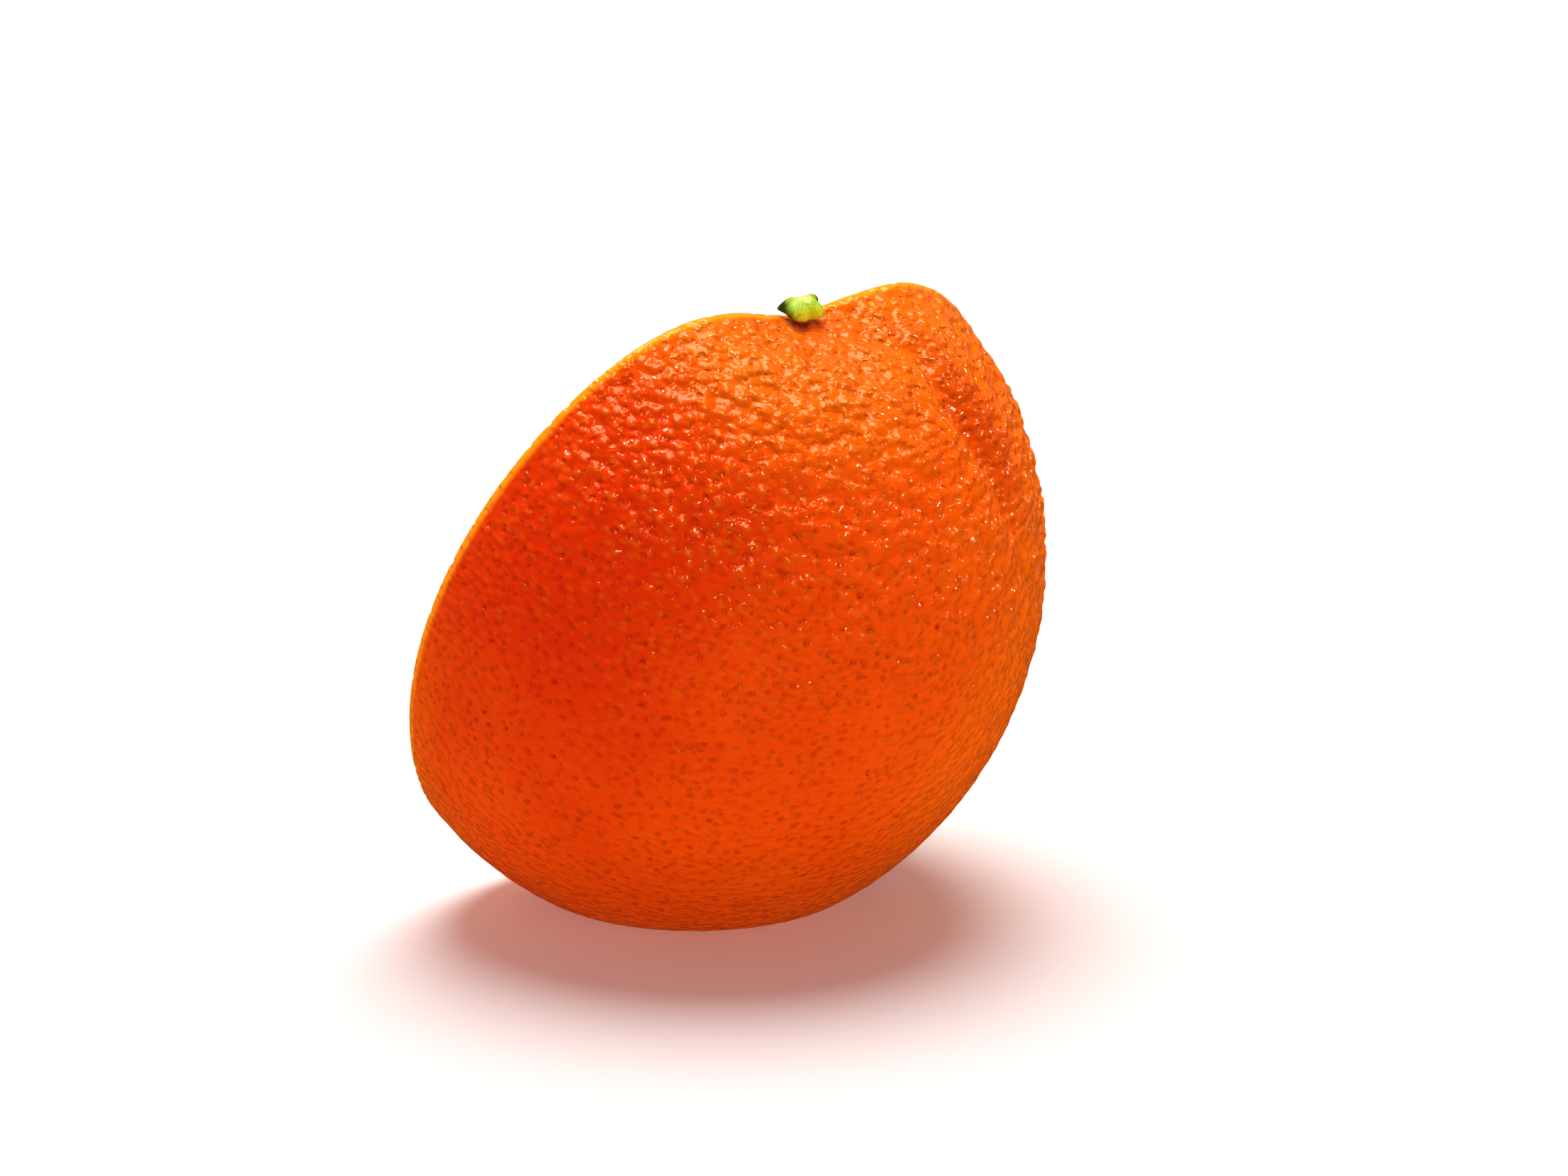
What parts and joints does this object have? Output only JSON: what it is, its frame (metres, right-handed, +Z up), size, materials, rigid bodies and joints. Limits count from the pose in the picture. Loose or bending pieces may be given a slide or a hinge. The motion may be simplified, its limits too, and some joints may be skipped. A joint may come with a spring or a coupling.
{
  "type": "half orange",
  "caption": "Fresh orange halved through its stem, resting on its rind with the cut face leaning back, green calyx at the top.",
  "frame": {"origin": "under the middle of the half's bounding box, on the surface that the fruit rests on", "axes": "+Z up; +X along the cut, level; the cut face looks to +Y and up, and the rind bulges to -Y"},
  "size_m": [0.0766, 0.0618, 0.0729],
  "materials": {
    "peel": "satin",
    "pith": "matte",
    "pulp": "gloss",
    "calyx": "satin"
  },
  "bodies": {
    "root": {"half_orange": "peel", "calyx": "calyx"}
  },
  "joints": []
}
